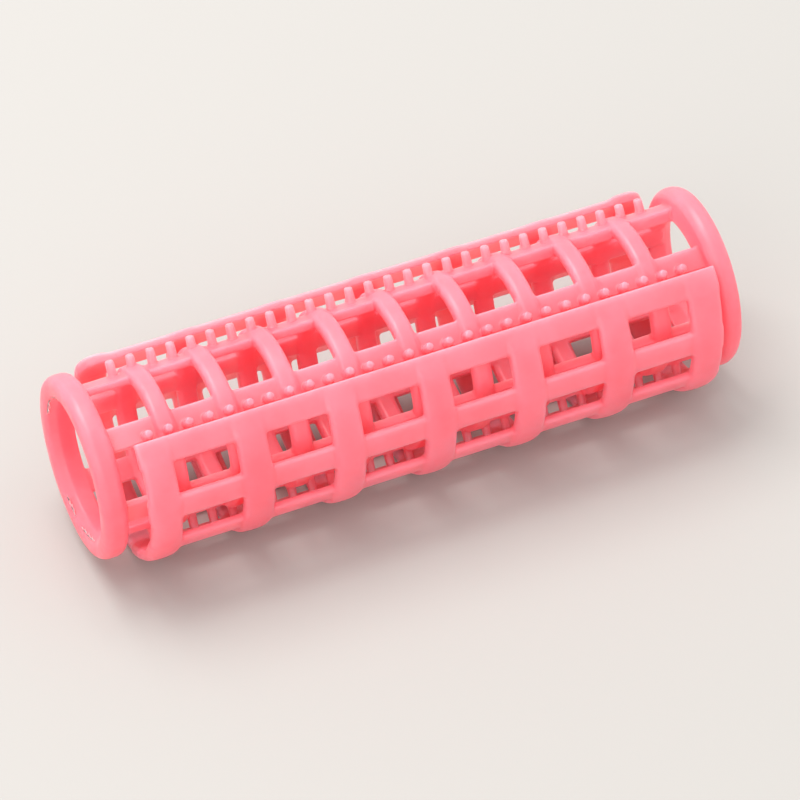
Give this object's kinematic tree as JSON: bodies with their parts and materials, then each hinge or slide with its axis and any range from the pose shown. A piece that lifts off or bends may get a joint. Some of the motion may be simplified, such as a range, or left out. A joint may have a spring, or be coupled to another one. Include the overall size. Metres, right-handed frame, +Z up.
{
  "type": "hair roller",
  "caption": "Hair roller with a clip-over cover: a toothed open cage that hair is wound on, in a springy lattice cover with a long open mouth.",
  "frame": {"origin": "under the middle of the core, on the surface the roller lies on", "axes": "+X along the roller, +Z up, -Y the front, which the cover's closed front wall faces; the cover's mouth looks up and a little to the rear"},
  "size_m": [0.0678, 0.0216, 0.0201],
  "materials": {
    "core_plastic": "satin pink polyethylene, slightly translucent",
    "cover_plastic": "satin pink polyethylene, slightly translucent"
  },
  "bodies": {
    "spine": {"cover_spine": "cover_plastic"},
    "core": {"roller_core": "core_plastic"},
    "front_jaw": {"cover_front_jaw": "cover_plastic"},
    "rear_jaw": {"cover_rear_jaw": "cover_plastic"}
  },
  "joints": [
    {"name": "core_lift_out", "type": "slide", "parent": "spine", "child": "core", "axis": [0, 0.1219, 0.9925], "range_m": [0, 0.016]},
    {"name": "front_jaw_flex", "type": "hinge", "parent": "spine", "child": "front_jaw", "pos_m": [0, -0.00803, 0.00357], "axis": [1, 0, 0], "range_deg": [0, 27], "stiffness_Nm_per_rad": 0.05},
    {"name": "rear_jaw_flex", "type": "hinge", "parent": "spine", "child": "rear_jaw", "pos_m": [0, 0.0038, 0.00069], "axis": [-1, 0, 0], "range_deg": [0, 27], "stiffness_Nm_per_rad": 0.05}
  ],
  "couplings": [
    {"joint": "front_jaw_flex", "follows": "core_lift_out", "rad_per_m": 28.8},
    {"joint": "rear_jaw_flex", "follows": "core_lift_out", "rad_per_m": 28.8}
  ]
}
